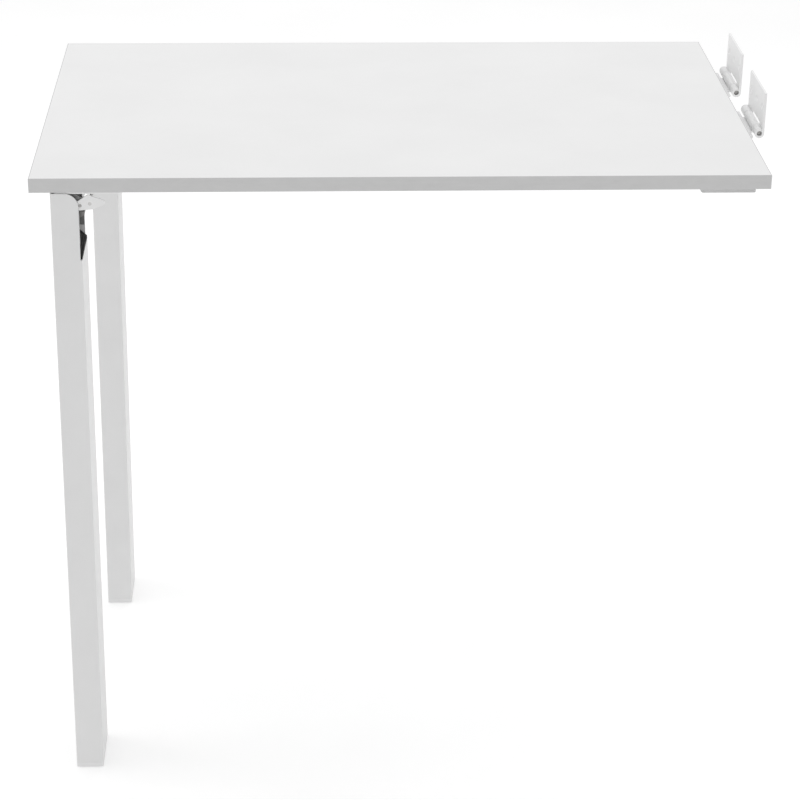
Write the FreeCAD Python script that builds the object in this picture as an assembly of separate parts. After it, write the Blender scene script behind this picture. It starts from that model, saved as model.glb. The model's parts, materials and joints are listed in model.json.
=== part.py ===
import FreeCAD, Part
import os

# Wall-mounted folding desk, millimetres.
# +X points to the wall, +Y away from the person standing at the front edge, +Z up.
# The origin is on the floor, under the middle of the whole object's box.

V = FreeCAD.Vector

# ---- board ----
BOARD_LENGTH = 800.0
BOARD_DEPTH = 500.0
BOARD_THICKNESS = 16.0
TOP_HEIGHT = 750.0
BAND_THICKNESS = 1.0
BAND_ARRIS = 0.6

# ---- wall hinges: rolled-knuckle butt hinges ----
HINGE_LENGTH = 91.0
HINGE_STARTS = {"front": 176.5, "rear": 328.5}  # first end of each hinge, from the board's front edge
BARREL_RADIUS = 5.5
PIN_RADIUS = 3.0
PIN_RUNNING_GAP = 0.05
PIN_RECESS = 3.0
LEAF_THICKNESS = 2.5
LEAF_REACH = 48.0
BARREL_BEYOND_BOARD = 19.5
BARREL_ABOVE_UNDERSIDE = 3.0
MIDDLE_KNUCKLE = (19.8, 69.2)
KNUCKLE_GAP = 0.8
WALL_LEAF_NOTCH = 8.0
TABLE_LEAF_EDGE = 7.0
ROLL_SLIT = 0.4
HINGE_HOLES = (13.0, 45.5, 78.0)
WALL_HOLE_UP = 28.7
TABLE_HOLE_BACK = 33.0
HINGE_HOLE_RADIUS = 2.25
HINGE_SINK_RADIUS = 4.0
HINGE_SINK_DEPTH = 1.5

# ---- folding legs ----
TUBE_X = 32.0
TUBE_Y = 70.0
TUBE_WALL = 1.5
TUBE_CORNER = 1.2
LEG_INSETS = {"front": 22.0, "rear": 32.4}  # outer face of each leg, from the board's free end
LEG_CENTRES = {"front": 36.5, "rear": 426.5}  # middle of each leg, from the board's front edge
LEG_RAKE_DEG = 0.5
PIVOT_DROP = 16.0
PIVOT_INSET = 0.5
TUBE_TOP = 13.9
HEAD_RADIUS = 15.0
OPENING_CUT = 2.0
OPENING_BOTTOM = -62.5
CAP_FLANGE = 5.0
CAP_PLUG = 25.0
CAP_ROUND = 1.5

# ---- leg head: channel inside the tube that carries the pivot ----
CHANNEL_OUTER_HALF = 30.5
CHANNEL_PLATE = 2.4
FLANGE_BOTTOM = -45.0
WEB_BOTTOM = -84.0
EAR_RADIUS = 7.0
FLANGE_TOP = 12.4
FLANGE_FRONT = 3.6
FLANGE_ROUND = 12.0

# ---- bracket under the board ----
PLATE_THICKNESS = 2.5
PLATE_BEFORE_PIVOT = 27.0
PLATE_AFTER_PIVOT = 44.3
PLATE_CORNER = 3.0
CHEEK_OUTER_HALF = 33.1
CHEEK_PLATE = 2.2
CHEEK_END_RADIUS = 5.3
STOP_WALL = (3.0, 5.0)
STOP_WALL_LOW = 9.5
PIVOT_PIN_RADIUS = 2.0
STRIKE_ROD_RADIUS = 2.0
STRIKE_ROD_PLACE = (10.7, 2.1)

# ---- release button, latch plate and spring, inside the tube ----
BUTTON_FACE = 0.4
BUTTON_BACK = -14.0
BUTTON_GAP = 0.4
BUTTON_LIP = 2.7
BUTTON_TOP = -50.0
BUTTON_TOP_FLAT = 4.0
BUTTON_BOTTOM = -80.0
LATCH_HALF_WIDTH = 14.0
SPRING_DROP = 66.0
SPRING_RADIUS = 6.0
SPRING_WIRE = 0.8
SPRING_PITCH = 3.2
SPRING_REST_GAP = 0.02
STUD_RADIUS = 4.2
STUD_REACH = 5.0
SHELF_THICKNESS = 2.0

# ---- catch for the folded leg ----
CATCH_START = 729.0
CATCH_LENGTH = 60.5
CATCH_WIDTH = 15.0
CATCH_HEIGHT = 14.6
CATCH_CHAMFER = 1.6
CATCH_CENTRES = {"front": 37.0, "rear": 433.0}
POLE_PROUD = 0.4
MAGNET_LENGTH = 34.0
MAGNET_WIDTH = 5.0
POLE_WIDTH = 1.6
MAGNET_DEPTH = 7.0

# ---- screws ----
SCREW_RADIUS = 1.75
SCREW_LENGTH = 12.0
SCREW_HEAD_RADIUS = 3.9
RECESS_WIDTH = 0.9
RECESS_DEPTH = 1.4

# ---- derived places ----
BARREL_TO_WALL = BARREL_RADIUS
WALL_X = (BOARD_LENGTH + BARREL_BEYOND_BOARD + BARREL_TO_WALL) / 2
FREE_END = -WALL_X
BOARD_END = FREE_END + BOARD_LENGTH
FRONT = -BOARD_DEPTH / 2
UNDERSIDE = TOP_HEIGHT - BOARD_THICKNESS
BARREL_X = BOARD_END + BARREL_BEYOND_BOARD
BARREL_Z = UNDERSIDE + BARREL_ABOVE_UNDERSIDE
PIVOT_Z = UNDERSIDE - PIVOT_DROP
SIDES = ("front", "rear")


def box(x0, x1, y0, y1, z0, z1):
    return Part.makeBox(x1 - x0, y1 - y0, z1 - z0, V(x0, y0, z0))


def rod_y(radius, x, z, y0, y1):
    return Part.makeCylinder(radius, y1 - y0, V(x, y0, z), V(0, 1, 0))


def edges_along(shape, direction):
    return [e for e in shape.Edges if abs(abs(e.tangentAt(e.FirstParameter).dot(direction)) - 1) < 1e-6]


def round_post(x0, x1, y0, y1, z0, z1, radius):
    """Upright box with its four upright edges rounded."""
    post = box(x0, x1, y0, y1, z0, z1)
    return post.makeFillet(radius, edges_along(post, V(0, 0, 1)))


def prism_y(points, y0, y1):
    """Polygon of (x, z) points, swept along Y."""
    corners = [V(x, y0, z) for x, z in points]
    wire = Part.makePolygon(corners + corners[:1])
    return Part.Face(wire).extrude(V(0, y1 - y0, 0))


def fuse(shapes):
    joined = shapes[0].fuse(shapes[1:]) if len(shapes) > 1 else shapes[0]
    return joined.removeSplitter()


def screw(x, y, z, direction, length=SCREW_LENGTH):
    """Countersunk wood screw with the middle of its head face at (x, y, z)."""
    axis = V(*direction)
    sink = Part.makeCone(SCREW_HEAD_RADIUS, SCREW_RADIUS, HINGE_SINK_DEPTH, V(x, y, z), axis)
    shank = Part.makeCylinder(SCREW_RADIUS, length - 2, V(x, y, z), axis)
    tip_base = V(x, y, z) + axis * (length - 2)
    tip = Part.makeCone(SCREW_RADIUS, 0.3, 2, tip_base, axis)
    return fuse([sink, shank, tip])


def with_cross_recess(solid, x, y, z, up):
    """Cross recess in a head whose face centre is (x, y, z); up is +1 if the screw points up."""
    reach = SCREW_HEAD_RADIUS * 0.55
    half = RECESS_WIDTH / 2
    z0, z1 = sorted((z - up * 0.1, z + up * RECESS_DEPTH))
    one = box(x - reach, x + reach, y - half, y + half, z0, z1)
    other = box(x - half, x + half, y - reach, y + reach, z0, z1)
    return solid.cut(one).cut(other)


def knuckle(x, z, y0, y1, slit_angle_deg):
    """Rolled barrel with the narrow slit where the rolled strip ends."""
    barrel = rod_y(BARREL_RADIUS, x, z, y0, y1).cut(rod_y(PIN_RADIUS, x, z, y0, y1))
    slit = box(x + PIN_RADIUS - 0.5, x + BARREL_RADIUS + 1, y0, y1, z - ROLL_SLIT / 2, z + ROLL_SLIT / 2)
    slit.rotate(V(x, 0, z), V(0, -1, 0), slit_angle_deg)
    return barrel.cut(slit)


def countersunk_hole(place, direction):
    """Screw hole with its countersink opening at place, running along direction."""
    drill = Part.makeCylinder(HINGE_HOLE_RADIUS, LEAF_THICKNESS + 2, place - direction, direction)
    cone = Part.makeCone(HINGE_SINK_RADIUS, HINGE_HOLE_RADIUS, HINGE_SINK_DEPTH, place, direction)
    return drill.fuse(cone)


# ------------------------------------------------------------------ hinges
def wall_leaf(start):
    y0, y1 = start, start + HINGE_LENGTH
    low, high = start + MIDDLE_KNUCKLE[0] - KNUCKLE_GAP, start + MIDDLE_KNUCKLE[1] + KNUCKLE_GAP
    inner = BARREL_X + BARREL_RADIUS - LEAF_THICKNESS
    outer = BARREL_X + BARREL_RADIUS
    plate = box(inner, outer, y0, y1, BARREL_Z, BARREL_Z + LEAF_REACH)
    plate = plate.cut(box(inner - 1, outer + 1, low, high, BARREL_Z - 1, BARREL_Z + WALL_LEAF_NOTCH))
    ends = [knuckle(BARREL_X, BARREL_Z, y0, low, 62), knuckle(BARREL_X, BARREL_Z, high, y1, 62)]
    leaf = fuse([plate] + ends)
    for along in HINGE_HOLES:
        leaf = leaf.cut(countersunk_hole(V(inner, start + along, BARREL_Z + WALL_HOLE_UP), V(1, 0, 0)))
    return leaf


def table_leaf(start):
    y0, y1 = start, start + HINGE_LENGTH
    low, high = start + MIDDLE_KNUCKLE[0], start + MIDDLE_KNUCKLE[1]
    bottom = BARREL_Z - BARREL_RADIUS
    plate = box(BARREL_X - LEAF_REACH, BARREL_X - TABLE_LEAF_EDGE, y0, y1, bottom, bottom + LEAF_THICKNESS)
    bridge = box(BARREL_X - TABLE_LEAF_EDGE - 1, BARREL_X, low, high, bottom, bottom + LEAF_THICKNESS)
    leaf = fuse([plate, bridge, knuckle(BARREL_X, BARREL_Z, low, high, 208)])
    leaf = leaf.cut(rod_y(PIN_RADIUS + PIN_RUNNING_GAP, BARREL_X, BARREL_Z, low, high))
    for along in HINGE_HOLES:
        leaf = leaf.cut(screw(BARREL_X - TABLE_HOLE_BACK, start + along, bottom, (0, 0, 1)))
    return leaf


def hinge_pin(start):
    y0, y1 = start + PIN_RECESS, start + HINGE_LENGTH - PIN_RECESS
    pin = rod_y(PIN_RADIUS, BARREL_X, BARREL_Z, y0, y1)
    return pin.makeChamfer(0.5, [e for e in pin.Edges if e.Closed])


def leaf_screws(start):
    bottom = BARREL_Z - BARREL_RADIUS
    screws = []
    for along in HINGE_HOLES:
        x, y = BARREL_X - TABLE_HOLE_BACK, start + along
        screws.append(with_cross_recess(screw(x, y, bottom, (0, 0, 1)), x, y, bottom, 1))
    return screws


# ------------------------------------------------------------------ bracket under the board
def cheek(px, y0, y1):
    """Side cheek: a rounded end round the pivot, a peak that joins the plate, a tapered nose."""
    rod_x, rod_z = STRIKE_ROD_PLACE
    points = [(-2.9, 4.5), (8.4, 11.8), (8.4, PIVOT_DROP - 1.5), (10.8, PIVOT_DROP - 1.5), (10.8, 11.4),
              (17.4, 9.0), (24.6, 6.5), (26.7, 4.8), (27.0, 2.6), (25.4, 0.4), (13.2, -4.2),
              (0.6, -CHEEK_END_RADIUS)]
    body = prism_y([(px + x, PIVOT_Z + z) for x, z in points], y0, y1)
    plate = body.fuse(rod_y(CHEEK_END_RADIUS, px, PIVOT_Z, y0, y1))
    plate = plate.cut(rod_y(PIVOT_PIN_RADIUS, px, PIVOT_Z, y0, y1))
    return plate.cut(rod_y(STRIKE_ROD_RADIUS, px + rod_x, PIVOT_Z + rod_z, y0, y1))


def bracket_screw_places(px, cy):
    return [(px + dx, cy + dy) for dx in (-16.5, 34.0) for dy in (-20.0, 20.0)]


def bracket(px, cy):
    """Plate with two cheeks, and a cross wall between them in front of the leg head."""
    plate = round_post(px - PLATE_BEFORE_PIVOT, px + PLATE_AFTER_PIVOT,
                       cy - CHEEK_OUTER_HALF, cy + CHEEK_OUTER_HALF,
                       UNDERSIDE - PLATE_THICKNESS, UNDERSIDE, PLATE_CORNER)
    inner = CHEEK_OUTER_HALF - CHEEK_PLATE
    cheeks = [cheek(px, cy - CHEEK_OUTER_HALF, cy - inner), cheek(px, cy + inner, cy + CHEEK_OUTER_HALF)]
    stop = box(px + STOP_WALL[0], px + STOP_WALL[1], cy - inner, cy + inner,
               PIVOT_Z + STOP_WALL_LOW, UNDERSIDE - PLATE_THICKNESS)
    whole = fuse([plate, stop] + cheeks)
    for x, y in bracket_screw_places(px, cy):
        whole = whole.cut(screw(x, y, UNDERSIDE - PLATE_THICKNESS, (0, 0, 1)))
    return whole


def bracket_screws(px, cy):
    z = UNDERSIDE - PLATE_THICKNESS
    return [with_cross_recess(screw(x, y, z, (0, 0, 1)), x, y, z, 1) for x, y in bracket_screw_places(px, cy)]


# ------------------------------------------------------------------ leg, drawn upright round its pivot
def round_head(shape, x, z, y0, y1, radius):
    """Round off the upper corner of shape that lies at (x, z), from y0 to y1."""
    corner = box(x - radius, x + 1, y0 - 1, y1 + 1, z - radius, z + 1)
    return shape.cut(corner.cut(rod_y(radius, x - radius, z - radius, y0 - 2, y1 + 2)))


def web_front(px):
    return px + PIVOT_INSET - TUBE_X + TUBE_WALL + CHANNEL_PLATE


def leg_tube(px, cy, foot_z):
    x0 = px + PIVOT_INSET - TUBE_X
    x1 = px + PIVOT_INSET
    y0, y1 = cy - TUBE_Y / 2, cy + TUBE_Y / 2
    top = PIVOT_Z + TUBE_TOP
    outer = round_post(x0, x1, y0, y1, foot_z + CAP_FLANGE, top, TUBE_CORNER)
    hollow = box(x0 + TUBE_WALL, x1 - TUBE_WALL, y0 + TUBE_WALL, y1 - TUBE_WALL, foot_z, top + 1)
    tube = outer.cut(hollow)
    edge = x1 - OPENING_CUT
    tube = tube.cut(box(edge, x1 + 1, y0 - 1, y1 + 1, PIVOT_Z + OPENING_BOTTOM, top + 1))
    return round_head(tube, edge, top, y0, y1, HEAD_RADIUS)


def leg_head(px, cy):
    """U-shaped channel: web on the tube's outer wall, two flanges that carry the pivot."""
    front = web_front(px)
    back = front - CHANNEL_PLATE
    edge = px + PIVOT_INSET - OPENING_CUT
    outer = CHANNEL_OUTER_HALF
    pieces = [box(back, front, cy - outer, cy + outer, PIVOT_Z + WEB_BOTTOM, PIVOT_Z + FLANGE_TOP)]
    for y0 in (cy - outer, cy + outer - CHANNEL_PLATE):
        y1 = y0 + CHANNEL_PLATE
        stem = box(back, edge, y0, y1, PIVOT_Z + FLANGE_BOTTOM, PIVOT_Z)
        shoulder = box(back, px + FLANGE_FRONT, y0, y1, PIVOT_Z - 1, PIVOT_Z + FLANGE_TOP)
        shoulder = round_head(shoulder, px + FLANGE_FRONT, PIVOT_Z + FLANGE_TOP, y0, y1, FLANGE_ROUND)
        pieces.append(fuse([stem, shoulder, rod_y(EAR_RADIUS, px, PIVOT_Z, y0, y1)]))
    bore = rod_y(PIVOT_PIN_RADIUS + PIN_RUNNING_GAP, px, PIVOT_Z, cy - outer - 1, cy + outer + 1)
    return fuse(pieces).cut(bore)


def foot_cap(px, cy, foot_z):
    """Plastic end cap: a plug in the tube and a flange with a rounded lower edge."""
    x0, x1 = px + PIVOT_INSET - TUBE_X, px + PIVOT_INSET
    y0, y1 = cy - TUBE_Y / 2, cy + TUBE_Y / 2
    flange = round_post(x0, x1, y0, y1, foot_z - 1, foot_z + CAP_FLANGE, TUBE_CORNER)
    low = [e for e in flange.Edges if abs(e.BoundBox.ZMax - (foot_z - 1)) < 1e-6]
    flange = flange.makeFillet(CAP_ROUND, low)
    plug = box(x0 + TUBE_WALL, x1 - TUBE_WALL, y0 + TUBE_WALL, y1 - TUBE_WALL,
               foot_z + CAP_FLANGE, foot_z + CAP_FLANGE + CAP_PLUG)
    wall = 2.5
    core = box(x0 + TUBE_WALL + wall, x1 - TUBE_WALL - wall, y0 + TUBE_WALL + wall, y1 - TUBE_WALL - wall,
               foot_z + CAP_FLANGE, foot_z + CAP_FLANGE + CAP_PLUG + 1)
    return fuse([flange, plug.cut(core)])


def latch_plate(px, cy):
    """Steel plate set in the button; its nose stands under the strike rod's path."""
    points = [(-12.0, -72.0), (-9.5, -72.0), (-9.5, -26.0), (3.0, -17.5), (3.0, -13.8), (-12.0, -13.8)]
    outline = [(px + x, PIVOT_Z + z) for x, z in points]
    return prism_y(outline, cy - LATCH_HALF_WIDTH, cy + LATCH_HALF_WIDTH)


def release_button(px, cy):
    """Plastic wedge that is pushed into the leg; its lip closes the foot of the opening."""
    lip_low = OPENING_BOTTOM + BUTTON_GAP
    inner = PIVOT_INSET - TUBE_WALL - BUTTON_GAP
    points = [(BUTTON_FACE, lip_low), (BUTTON_FACE, lip_low + BUTTON_LIP),
              (BUTTON_BACK + BUTTON_TOP_FLAT, BUTTON_TOP), (BUTTON_BACK, BUTTON_TOP),
              (BUTTON_BACK, BUTTON_BOTTOM), (inner, BUTTON_BOTTOM), (inner, lip_low)]
    reach = TUBE_Y / 2 - TUBE_WALL - BUTTON_GAP
    block = prism_y([(px + x, PIVOT_Z + z) for x, z in points], cy - reach, cy + reach)
    return block.cut(latch_plate(px, cy))


def spring_seat(px, cy):
    """Stud that centres the spring, and the cross shelf that the button slides on."""
    reach = TUBE_Y / 2 - TUBE_WALL
    top = PIVOT_Z + BUTTON_BOTTOM - BUTTON_GAP
    shelf = box(web_front(px), px + PIVOT_INSET - TUBE_WALL, cy - reach, cy + reach,
                top - SHELF_THICKNESS, top)
    stud = Part.makeCylinder(STUD_RADIUS, STUD_REACH, V(web_front(px), cy, PIVOT_Z - SPRING_DROP), V(1, 0, 0))
    return Part.makeCompound([shelf, stud])


def latch_spring(px, cy):
    """Compression spring between the channel's web and the button's back."""
    base = web_front(px) + SPRING_WIRE + SPRING_REST_GAP
    height = px + BUTTON_BACK - SPRING_WIRE - SPRING_REST_GAP - base
    path = Part.Wire(Part.makeHelix(SPRING_PITCH, height, SPRING_RADIUS))
    ring = Part.Wire(Part.makeCircle(SPRING_WIRE, V(SPRING_RADIUS, 0, 0), V(0, 1, 0)))
    coil = path.makePipeShell([ring], True, True)
    coil.rotate(V(0, 0, 0), V(0, 1, 0), 90)
    coil.translate(V(base, cy, PIVOT_Z - SPRING_DROP))
    return coil


def raked(shape, px):
    """Lean the leg a little outward about its pivot."""
    leaning = shape.copy()
    leaning.rotate(V(px, 0, PIVOT_Z), V(0, 1, 0), LEG_RAKE_DEG)
    return leaning


# ------------------------------------------------------------------ magnetic catch
def catch_parts(x0, cy):
    x1 = x0 + CATCH_LENGTH
    bottom = UNDERSIDE - CATCH_HEIGHT
    y0, y1 = cy - CATCH_WIDTH / 2, cy + CATCH_WIDTH / 2
    mid = (x0 + x1) / 2
    c = CATCH_CHAMFER
    outline = [(x0, UNDERSIDE), (x1, UNDERSIDE), (x1, bottom + 1), (x1 - 1, bottom), (x0 + c, bottom),
               (x0, bottom + c)]
    housing = prism_y(outline, y0, y1)
    half = MAGNET_LENGTH / 2
    gap = MAGNET_WIDTH / 2
    magnet = box(mid - half, mid + half, cy - gap, cy + gap, bottom, bottom + MAGNET_DEPTH)
    poles = [box(mid - half, mid + half, y, y + POLE_WIDTH, bottom - POLE_PROUD, bottom + MAGNET_DEPTH)
             for y in (cy - gap - POLE_WIDTH, cy + gap)]
    housing = housing.cut(magnet).cut(poles[0]).cut(poles[1])
    screws = []
    for x in (x0 + 6.5, x1 - 6.5):
        fixing = screw(x, cy, UNDERSIDE - 4.0, (0, 0, 1))
        well = Part.makeCylinder(SCREW_HEAD_RADIUS, CATCH_HEIGHT, V(x, cy, bottom - 1), V(0, 0, 1))
        well = well.common(box(x0, x1, y0, y1, bottom - 1, UNDERSIDE - 4.0))
        housing = housing.cut(well).cut(fixing)
        screws.append(with_cross_recess(fixing, x, cy, UNDERSIDE - 4.0, 1))
    return housing, magnet, poles, screws


# ------------------------------------------------------------------ board
def edge_band(x0, x1, y0, y1, outer_axis, outer_at):
    """Edge strip whose two long outer arrises are rounded."""
    strip = box(x0, x1, y0, y1, UNDERSIDE, TOP_HEIGHT)
    along = V(1, 0, 0) if outer_axis == "y" else V(0, 1, 0)
    outer = [e for e in edges_along(strip, along)
             if abs(getattr(e.CenterOfMass, outer_axis) - outer_at) < 1e-6]
    return strip.makeFillet(BAND_ARRIS, outer)


def board_parts():
    t = BAND_THICKNESS
    back = FRONT + BOARD_DEPTH
    parts = {
        "board_core": box(FREE_END + t, BOARD_END - t, FRONT + t, back - t, UNDERSIDE, TOP_HEIGHT),
        "front_edge_band": edge_band(FREE_END, BOARD_END, FRONT, FRONT + t, "y", FRONT),
        "back_edge_band": edge_band(FREE_END, BOARD_END, back - t, back, "y", back),
        "left_edge_band": edge_band(FREE_END, FREE_END + t, FRONT + t, back - t, "x", FREE_END),
        "right_edge_band": edge_band(BOARD_END - t, BOARD_END, FRONT + t, back - t, "x", BOARD_END),
    }
    return parts


# ------------------------------------------------------------------ assembly
def build():
    parts = board_parts()
    fixings = []
    for side in SIDES:
        start = FRONT + HINGE_STARTS[side]
        parts[side + "_wall_leaf"] = wall_leaf(start)
        parts[side + "_table_leaf"] = table_leaf(start)
        parts[side + "_hinge_pin"] = hinge_pin(start)
        parts[side + "_leaf_screws"] = Part.makeCompound(leaf_screws(start))

        px = FREE_END + LEG_INSETS[side] + TUBE_X - PIVOT_INSET
        cy = FRONT + LEG_CENTRES[side]
        parts[side + "_bracket"] = bracket(px, cy)
        parts[side + "_bracket_screws"] = Part.makeCompound(bracket_screws(px, cy))
        y0, y1 = cy - CHEEK_OUTER_HALF, cy + CHEEK_OUTER_HALF
        parts[side + "_pivot_pin"] = rod_y(PIVOT_PIN_RADIUS, px, PIVOT_Z, y0, y1)
        rx, rz = STRIKE_ROD_PLACE
        parts[side + "_strike_rod"] = rod_y(STRIKE_ROD_RADIUS, px + rx, PIVOT_Z + rz, y0, y1)

        parts[side + "_leg_tube"] = raked(leg_tube(px, cy, 0.0), px)
        parts[side + "_leg_head"] = raked(leg_head(px, cy), px)
        cap = raked(foot_cap(px, cy, 0.0), px)
        parts[side + "_foot_cap"] = cap.cut(box(px - 100, px + 100, cy - 100, cy + 100, -10, 0))
        parts[side + "_spring_seat"] = raked(spring_seat(px, cy), px)
        parts[side + "_release_button"] = raked(release_button(px, cy), px)
        parts[side + "_latch_plate"] = raked(latch_plate(px, cy), px)
        parts[side + "_latch_spring"] = raked(latch_spring(px, cy), px)

        housing, magnet, poles, screws = catch_parts(FREE_END + CATCH_START, FRONT + CATCH_CENTRES[side])
        parts[side + "_catch_housing"] = housing
        parts[side + "_catch_magnet"] = magnet
        parts[side + "_catch_poles"] = Part.makeCompound(poles)
        parts[side + "_catch_screws"] = Part.makeCompound(screws)
        for group in ("_leaf_screws", "_bracket_screws", "_catch_screws"):
            fixings.append(parts[side + group])
    for group in fixings:
        for one in group.Solids:
            parts["board_core"] = parts["board_core"].cut(one)
    return parts


os.makedirs("parts", exist_ok=True)
for node, shape in build().items():
    shape.exportStep("parts/" + node + ".step")
    print(node, len(shape.Solids), shape.isValid(), round(shape.Volume, 1))
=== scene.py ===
import json
import math

import bmesh
import bpy
from mathutils import Matrix, Vector


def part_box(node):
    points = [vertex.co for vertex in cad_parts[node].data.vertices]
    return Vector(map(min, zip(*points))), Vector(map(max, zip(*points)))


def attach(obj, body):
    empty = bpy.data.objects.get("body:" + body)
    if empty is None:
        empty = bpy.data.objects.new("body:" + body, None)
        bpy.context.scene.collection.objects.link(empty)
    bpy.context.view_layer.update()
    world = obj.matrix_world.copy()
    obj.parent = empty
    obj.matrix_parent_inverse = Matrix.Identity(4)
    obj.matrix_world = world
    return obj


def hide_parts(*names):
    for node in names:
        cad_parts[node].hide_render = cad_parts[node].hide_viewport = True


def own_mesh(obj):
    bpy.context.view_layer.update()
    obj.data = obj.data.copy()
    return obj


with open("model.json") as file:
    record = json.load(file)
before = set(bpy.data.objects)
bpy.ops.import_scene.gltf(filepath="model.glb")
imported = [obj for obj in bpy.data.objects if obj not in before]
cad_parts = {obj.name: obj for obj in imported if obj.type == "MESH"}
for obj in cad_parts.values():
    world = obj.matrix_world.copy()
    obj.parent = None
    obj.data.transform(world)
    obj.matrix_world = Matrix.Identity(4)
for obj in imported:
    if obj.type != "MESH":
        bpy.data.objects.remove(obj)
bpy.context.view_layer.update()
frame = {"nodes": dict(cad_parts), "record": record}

MM = 0.001
SIDES = ("front", "rear")
JOINTS = {joint["name"]: joint for joint in frame["record"]["behaviour"]["joints"]}

# Release button, as (x, z) from the leg's pivot, the same outline as its CAD node.
RAMP_FOOT = (0.4 * MM, -59.4 * MM)
RAMP_CREST = (-10.0 * MM, -50.0 * MM)
BUTTON_BACK = ((-14.0 * MM, -50.0 * MM), (-14.0 * MM, -80.0 * MM),
               (-1.4 * MM, -80.0 * MM), (-1.4 * MM, -62.1 * MM))
BUTTON_LIP = 2.7 * MM
RAMP_STEPS = 60
RIB_COUNT = 5
RIB_HEIGHT = 0.45 * MM
RIB_REACH = 0.78
# Sections across the button, as shares of its half width; the ribs stop between 0.74 and 0.80.
BUTTON_SECTIONS = (-1.0, -0.80, -0.74, -0.40, 0.0, 0.40, 0.74, 0.80, 1.0)
BUTTON_ROUND = 0.4 * MM
ROUND_SEGMENTS = 3
ROUND_MIN_ANGLE = math.radians(40)

# Latch spring; the length left out of the coil keeps its wire inside the CAD node's box.
WIRE_RADIUS = 0.8 * MM
SPRING_TURNS = 4
SPRING_END_SPARE = 2.2 * WIRE_RADIUS
STEPS_PER_TURN = 24
WIRE_SIDES = 10

SHARP_ANGLE = math.radians(35)

# Noise values that reach the dark and light ends of a colour, and the low and high ends of a range.
COLOUR_STOPS = (0.3, 0.7)
RANGE_STOPS = (0.25, 0.75)
# Warm tint of bare metal: this much more red and less blue.
METAL_WARMTH = 0.006

FLOOR_SIZE = 30
FLOOR_DROP = 1 * MM
FLOOR_GLOW = 0.25
WORLD_STRENGTH = 0.75
# Soft boxes: name, place, size, watts, target.
SOFT_BOXES = (("overhead", (0.2, 0.6, 3.2), (3.0, 3.0), 26.0, (0, 0, 0.5)),
              ("wall_side", (2.8, -0.3, 1.3), (1.8, 1.8), 0.5, (0, 0, 0.6)),
              ("free_side", (-2.8, 0.3, 1.3), (1.8, 1.8), 13.0, (0, 0, 0.6)))

SENSOR_WIDTH = 36.0
FOCAL_LENGTH = 104.6
CAMERA_PLACE = (-0.1264, -2.6043, 1.6010)
# Downward pitch, turn towards the wall, and roll.
CAMERA_ANGLES = (25.33, 2.77, 0.66)


# ------------------------------------------------------------------ node helpers
class Nodes:
    """A short way to write a material's node tree."""

    def __init__(self, name):
        self.material = bpy.data.materials.new(name)
        self.material.use_nodes = True
        self.tree = self.material.node_tree
        self.shader = self.tree.nodes["Principled BSDF"]
        self.place = self.add("ShaderNodeTexCoord").outputs["Object"]

    def add(self, kind):
        return self.tree.nodes.new(kind)

    def link(self, source, target):
        self.tree.links.new(source, target)

    def set(self, **values):
        """Uniform values on the shader's own sockets, by socket name with underscores."""
        for socket, value in values.items():
            self.shader.inputs[socket.replace("_", " ")].default_value = value

    def scaled(self, scale):
        mapping = self.add("ShaderNodeMapping")
        mapping.inputs["Scale"].default_value = scale
        self.link(self.place, mapping.inputs["Vector"])
        return mapping.outputs["Vector"]

    def noise(self, scale, detail, roughness=0.5, stretch=(1, 1, 1)):
        node = self.add("ShaderNodeTexNoise")
        node.inputs["Scale"].default_value = scale
        node.inputs["Detail"].default_value = detail
        node.inputs["Roughness"].default_value = roughness
        self.link(self.scaled(stretch), node.inputs["Vector"])
        return node.outputs["Fac"]

    def specks(self, scale):
        node = self.add("ShaderNodeTexVoronoi")
        node.inputs["Scale"].default_value = scale
        self.link(self.scaled((1, 1, 1)), node.inputs["Vector"])
        return node.outputs["Distance"]

    def colour(self, value, dark, light):
        node = self.add("ShaderNodeValToRGB")
        for element, at, shade in zip(node.color_ramp.elements, COLOUR_STOPS, (dark, light)):
            element.position = at
            element.color = (*shade, 1)
        self.link(value, node.inputs["Fac"])
        self.link(node.outputs["Color"], self.shader.inputs["Base Color"])

    def roughness(self, value, low, high):
        node = self.add("ShaderNodeMapRange")
        node.inputs["From Min"].default_value, node.inputs["From Max"].default_value = RANGE_STOPS
        node.inputs["To Min"].default_value = low
        node.inputs["To Max"].default_value = high
        self.link(value, node.inputs["Value"])
        self.link(node.outputs["Result"], self.shader.inputs["Roughness"])

    def bump(self, *layers):
        """Layers of (height, strength, distance in metres), one on top of another."""
        before = None
        for height, strength, distance in layers:
            node = self.add("ShaderNodeBump")
            node.inputs["Strength"].default_value = strength
            node.inputs["Distance"].default_value = distance
            self.link(height, node.inputs["Height"])
            if before is not None:
                self.link(before, node.inputs["Normal"])
            before = node.outputs["Normal"]
        self.link(before, self.shader.inputs["Normal"])


def grey(value, warm=0.0):
    return (value + warm, value, value - warm)


# ------------------------------------------------------------------ materials
def melamine():
    """White melamine facing: a pearled satin face with a faint press grain."""
    n = Nodes("white_melamine")
    cloud = n.noise(scale=9, detail=4)
    pearl = n.noise(scale=900, detail=2)
    n.colour(cloud, grey(0.800), grey(0.825))
    n.roughness(n.noise(scale=60, detail=4), low=0.36, high=0.46)
    n.bump((pearl, 0.10, 0.1 * MM), (n.noise(scale=160, detail=3), 0.06, 0.3 * MM))
    n.set(Specular_IOR_Level=0.42)
    return n.material


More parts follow.
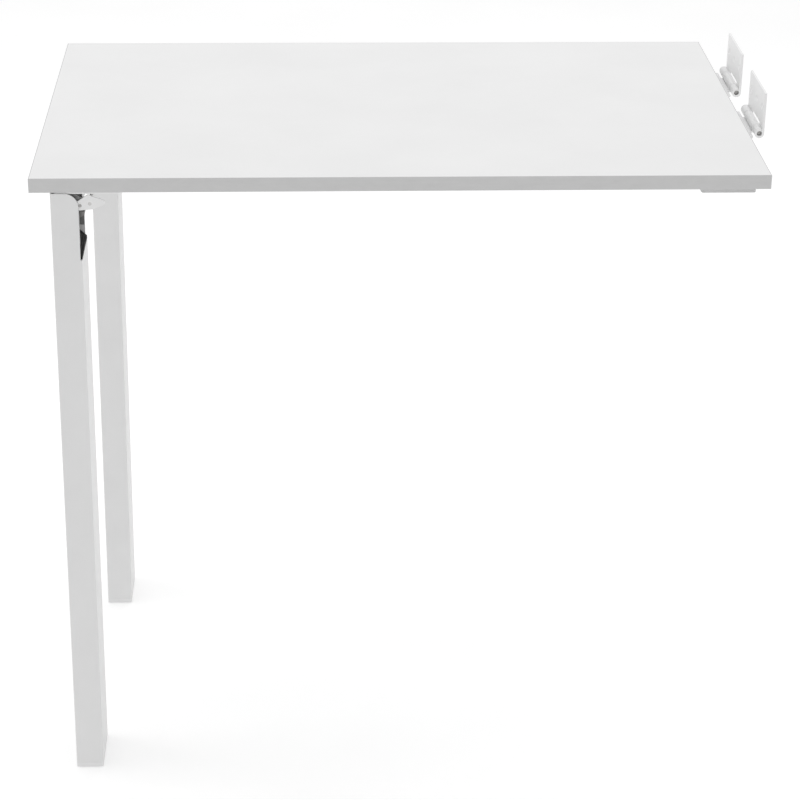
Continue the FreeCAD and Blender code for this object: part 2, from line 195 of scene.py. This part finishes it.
def edge_strip(name, along_x):
    """Edge strip: extruded plastic with fine drawn lines along its length."""
    n = Nodes(name)
    line_stretch = (0.05, 1, 1) if along_x else (1, 0.05, 1)
    mottle_stretch = (0.35, 1, 1) if along_x else (1, 0.35, 1)
    lines = n.noise(scale=900, detail=3, roughness=0.6, stretch=line_stretch)
    mottle = n.noise(scale=140, detail=4, roughness=0.6, stretch=mottle_stretch)
    n.colour(mottle, grey(0.538), grey(0.566))
    n.roughness(lines, low=0.42, high=0.56)
    n.bump((lines, 0.16, 0.1 * MM), (mottle, 0.08, 0.2 * MM))
    return n.material


def powder_coat(name, dark, light, peel=520.0, rough=(0.40, 0.52)):
    """Powder coat on steel: fine orange peel with a few settled specks."""
    n = Nodes(name)
    peel_height = n.noise(scale=peel, detail=2, roughness=0.45)
    specks = n.specks(scale=340)
    n.colour(n.noise(scale=22, detail=4), grey(dark), grey(light))
    n.roughness(n.noise(scale=85, detail=3), *rough)
    n.bump((peel_height, 0.14, 0.2 * MM), (specks, 0.05, 0.1 * MM))
    n.set(Coat_Weight=0.12, Coat_Roughness=0.25)
    return n.material


def moulded(name, dark, light, rough=(0.42, 0.58)):
    """Moulded plastic with a spark-eroded texture."""
    n = Nodes(name)
    grain = n.noise(scale=700, detail=3, roughness=0.6)
    n.colour(n.noise(scale=50, detail=3), grey(dark), grey(light))
    n.roughness(n.noise(scale=210, detail=3), *rough)
    n.bump((grain, 0.25, 0.2 * MM))
    return n.material


def black_plastic():
    """Moulded plastic of the release button: nearly black, with hardly any sheen."""
    material = moulded("button_plastic", 0.008, 0.016, rough=(0.48, 0.62))
    shader = material.node_tree.nodes["Principled BSDF"]
    shader.inputs["Specular IOR Level"].default_value = 0.05
    return material


def bare_metal(name, dark, light, rough=(0.26, 0.42), stretch=(1, 0.08, 1)):
    """Zinc-plated steel: drawn marks along the bar and clouded plating."""
    n = Nodes(name)
    marks = n.noise(scale=1100, detail=3, roughness=0.6, stretch=stretch)
    n.colour(n.noise(scale=120, detail=4), grey(dark, METAL_WARMTH), grey(light, METAL_WARMTH))
    n.roughness(marks, *rough)
    n.bump((marks, 0.12, 0.1 * MM))
    n.set(Metallic=1.0)
    return n.material


def ferrite():
    """Sintered magnet: dull, dark and grainy."""
    n = Nodes("ferrite")
    grain = n.noise(scale=1500, detail=3, roughness=0.7)
    n.colour(grain, grey(0.03), grey(0.07))
    n.roughness(grain, low=0.6, high=0.8)
    n.bump((grain, 0.4, 0.1 * MM))
    return n.material


# ------------------------------------------------------------------ meshes
def tube_through(sections):
    """A closed skin through rings of points, all with the same count."""
    bm = bmesh.new()
    rings = [[bm.verts.new(point) for point in section] for section in sections]
    count = len(rings[0])
    for before, after in zip(rings, rings[1:]):
        for i in range(count):
            j = (i + 1) % count
            bm.faces.new((before[i], before[j], after[j], after[i]))
    bm.faces.new(rings[0])
    bm.faces.new(rings[-1])
    bmesh.ops.recalc_face_normals(bm, faces=bm.faces)
    return bm


def new_piece(name, bm, joint, place, material):
    """A smooth-shaded piece, leaned with the travel of its joint and moved to its place."""
    push = Vector(JOINTS[joint]["axis"])
    lean = math.atan2(push.z, -push.x)
    bmesh.ops.rotate(bm, verts=bm.verts, matrix=Matrix.Rotation(lean, 3, "Y"))
    bmesh.ops.translate(bm, verts=bm.verts, vec=place)
    mesh = bpy.data.meshes.new(name)
    bm.normal_update()
    bm.to_mesh(mesh)
    bm.free()
    piece = bpy.data.objects.new(name, mesh)
    bpy.context.collection.objects.link(piece)
    mesh.materials.append(material)
    for polygon in mesh.polygons:
        polygon.use_smooth = True
    mesh.set_sharp_from_angle(angle=SHARP_ANGLE)
    return piece


def soften(piece):
    """A bevel modifier, so that moulded edges catch the light."""
    edge = piece.modifiers.new("edges", "BEVEL")
    edge.width = BUTTON_ROUND
    edge.segments = ROUND_SEGMENTS
    edge.limit_method = "ANGLE"
    edge.angle_limit = ROUND_MIN_ANGLE
    edge.harden_normals = True


def wedge_profile():
    """Outline of the release button from the leg's pivot, as (point, rib rise), and the ramp's normal."""
    foot, crest = Vector(RAMP_FOOT), Vector(RAMP_CREST)
    slope = crest - foot
    normal = Vector((slope.y, -slope.x)).normalized()
    outline = [(foot - Vector((0, BUTTON_LIP)), 0.0)]
    for step in range(RAMP_STEPS + 1):
        along = step / RAMP_STEPS
        wave = 0.5 - 0.5 * math.cos(along * RIB_COUNT * math.tau)
        outline.append((foot + slope * along, wave * RIB_HEIGHT))
    outline += [(Vector(point), 0.0) for point in BUTTON_BACK]
    return outline, normal


def release_wedge(side, material):
    """Release button: a moulded wedge whose ramp has grip ribs for the finger."""
    node = side + "_release_button"
    low, high = (Vector(corner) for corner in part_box(node))
    pivot = JOINTS[side + "_leg_fold"]["pos_m"]
    outline, normal = wedge_profile()
    half = (high.y - low.y) / 2
    sections = []
    for share in BUTTON_SECTIONS:
        lift = 1.0 if abs(share) < RIB_REACH else 0.0
        flat = [point + normal * rise * lift for point, rise in outline]
        sections.append([(place.x, share * half, place.y) for place in flat])
    middle = (pivot[0], (low.y + high.y) / 2, pivot[2])
    piece = new_piece(side + "_release_wedge", tube_through(sections),
                      side + "_release_press", middle, material)
    soften(piece)
    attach(piece, side + "_release")
    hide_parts(node)


def coil_spring(side, material):
    """Compression spring behind the release button."""
    node = side + "_latch_spring"
    joint = side + "_release_press"
    low, high = (Vector(corner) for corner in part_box(node))
    middle = (low + high) / 2
    reach = high.x - low.x
    radius = (high.y - low.y) / 2 - WIRE_RADIUS
    length = reach - SPRING_END_SPARE
    steps = SPRING_TURNS * STEPS_PER_TURN
    sections = []
    for step in range(steps + 1):
        turn = step / STEPS_PER_TURN * math.tau
        outward = Vector((0, math.cos(turn), math.sin(turn)))
        centre = outward * radius + Vector((length * (step / steps - 0.5), 0, 0))
        section = []
        for wire_step in range(WIRE_SIDES):
            around = wire_step / WIRE_SIDES * math.tau
            offset = outward * math.cos(around) + Vector((math.sin(around), 0, 0))
            section.append(centre + offset * WIRE_RADIUS)
        sections.append(section)
    piece = new_piece(side + "_coil_spring", tube_through(sections), joint, middle, material)
    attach(piece, side + "_leg")
    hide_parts(node)
    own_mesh(piece)


# ------------------------------------------------------------------ dressing the carried-over nodes
def dress(node, material):
    mesh = frame["nodes"][node].data
    mesh.materials.clear()
    mesh.materials.append(material)


MELAMINE = melamine()
LEG_WHITE = powder_coat("leg_powder_coat", 0.705, 0.730)
# Hinge powder coat: the same white as the bracket, lightened as painted light on the barrels and leaves.
HINGE_WHITE_PAINTED_LIGHT = powder_coat("hinge_powder_coat_painted_light", 0.83, 0.86, peel=700)
BRACKET_WHITE = powder_coat("bracket_powder_coat", 0.76, 0.79, peel=700)
FOOT = moulded("foot_plastic", 0.74, 0.78)
# The catch housing is white plastic; its mid grey is painted shade from under the board.
CATCH_PAINTED_SHADE = moulded("catch_plastic_painted_shade", 0.50, 0.54)
BLACK = black_plastic()
ZINC = bare_metal("zinc_plate", 0.50, 0.60)
# Leg head channel: its dark grey is painted shade from inside the open tube, not a plating colour.
CHANNEL_PAINTED_SHADE = powder_coat("channel_painted_shade", 0.16, 0.20, peel=900, rough=(0.34, 0.46))
# Pins: steel darkened below the zinc as painted shade from inside the knuckle bores.
PIN_PAINTED_SHADE = bare_metal("pin_steel_painted_shade", 0.30, 0.38)
LATCH = bare_metal("latch_steel", 0.26, 0.33, rough=(0.34, 0.48), stretch=(1, 1, 0.08))
SCREW = bare_metal("screw_plate", 0.50, 0.58, stretch=(1, 1, 1))
FERRITE = ferrite()

# Each side's nodes and their materials.
SIDE_MATERIALS = (("wall_leaf", HINGE_WHITE_PAINTED_LIGHT), ("table_leaf", HINGE_WHITE_PAINTED_LIGHT), ("hinge_pin", PIN_PAINTED_SHADE),
                  ("leaf_screws", SCREW), ("bracket", BRACKET_WHITE), ("bracket_screws", SCREW),
                  ("pivot_pin", PIN_PAINTED_SHADE), ("strike_rod", ZINC), ("leg_tube", LEG_WHITE),
                  ("leg_head", CHANNEL_PAINTED_SHADE), ("foot_cap", FOOT), ("spring_seat", ZINC),
                  ("latch_spring", ZINC), ("release_button", BLACK), ("latch_plate", LATCH),
                  ("catch_housing", CATCH_PAINTED_SHADE), ("catch_magnet", FERRITE), ("catch_poles", ZINC),
                  ("catch_screws", SCREW))

dress("board_core", MELAMINE)
for strip, along_x in (("front", True), ("back", True), ("left", False), ("right", False)):
    dress(strip + "_edge_band", edge_strip(strip + "_edge_strip", along_x))
for side in SIDES:
    for node, material in SIDE_MATERIALS:
        dress(side + "_" + node, material)


# ------------------------------------------------------------------ floor, light and camera
def studio():
    """A pale floor in an evenly lit room, with three large soft boxes."""
    bpy.ops.mesh.primitive_plane_add(size=FLOOR_SIZE, location=(0, 0, -FLOOR_DROP))
    floor = bpy.context.object
    floor.name = "floor"
    n = Nodes("studio_floor")
    n.colour(n.noise(scale=3, detail=2), grey(0.86), grey(0.88))
    n.roughness(n.noise(scale=20, detail=2), low=0.8, high=0.9)
    n.set(Emission_Color=(1, 1, 1, 1), Emission_Strength=FLOOR_GLOW)
    floor.data.materials.append(n.material)

    world = bpy.data.worlds.new("studio")
    bpy.context.scene.world = world
    world.use_nodes = True
    back = world.node_tree.nodes["Background"]
    back.inputs["Color"].default_value = (1, 1, 1, 1)
    back.inputs["Strength"].default_value = WORLD_STRENGTH

    for name, place, size, watts, target in SOFT_BOXES:
        data = bpy.data.lights.new(name, "AREA")
        data.shape = "RECTANGLE"
        data.size, data.size_y = size
        data.energy = watts
        lamp = bpy.data.objects.new(name, data)
        lamp.location = place
        ahead = Vector(target) - Vector(place)
        lamp.rotation_euler = ahead.to_track_quat("-Z", "Y").to_euler()
        bpy.context.collection.objects.link(lamp)
    bpy.context.scene.view_settings.view_transform = "Standard"


def camera():
    """A long lens from in front and above, turned a little towards the wall."""
    data = bpy.data.cameras.new("camera")
    data.sensor_width = SENSOR_WIDTH
    data.lens = FOCAL_LENGTH
    pitch, yaw, roll = (math.radians(angle) for angle in CAMERA_ANGLES)
    level = math.cos(pitch)
    ahead = Vector((math.sin(yaw) * level, math.cos(yaw) * level, -math.sin(pitch)))
    right = Vector((math.cos(yaw), -math.sin(yaw), 0))
    up = right.cross(ahead)
    rolled_right = right * math.cos(roll) + up * math.sin(roll)
    rolled_up = up * math.cos(roll) - right * math.sin(roll)
    turn = Matrix((rolled_right, rolled_up, -ahead)).transposed()
    eye = bpy.data.objects.new("camera", data)
    eye.matrix_world = Matrix.Translation(Vector(CAMERA_PLACE)) @ turn.to_4x4()
    bpy.context.collection.objects.link(eye)
    bpy.context.scene.camera = eye


for side in SIDES:
    release_wedge(side, BLACK)
    coil_spring(side, ZINC)

studio()
camera()
